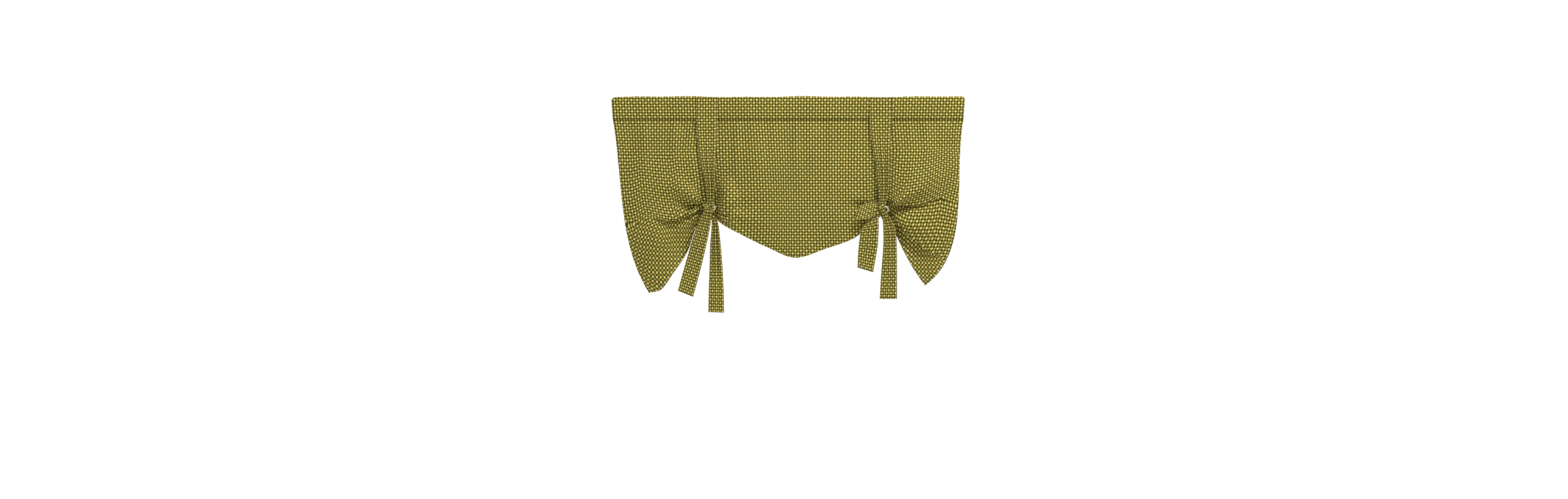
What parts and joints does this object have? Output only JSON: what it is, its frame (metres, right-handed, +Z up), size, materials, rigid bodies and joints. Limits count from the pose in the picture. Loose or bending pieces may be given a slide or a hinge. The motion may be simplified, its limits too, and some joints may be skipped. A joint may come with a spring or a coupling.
{
  "type": "tie-up window valance",
  "caption": "Tie-up window valance in printed cotton: rod pocket, swagged centre, straps knotted at the front through small rings, and pointed side tails.",
  "frame": {"origin": "middle of the top edge of the rod pocket", "axes": "+X along the heading towards the right as seen from the room, -Y towards the room, +Z up"},
  "size_m": [1.1584, 0.0895, 0.7085],
  "materials": {
    "printed_cotton": "woven, printed with pale yellow diamonds on olive",
    "ring_plastic": "moulded, off-white"
  },
  "bodies": {
    "root": {"header_pocket": "printed_cotton", "panel": "printed_cotton", "tie_left_front": "printed_cotton", "tie_left_back": "printed_cotton", "tie_right_front": "printed_cotton", "tie_right_back": "printed_cotton", "ring_left": "ring_plastic", "ring_right": "ring_plastic"}
  },
  "joints": []
}
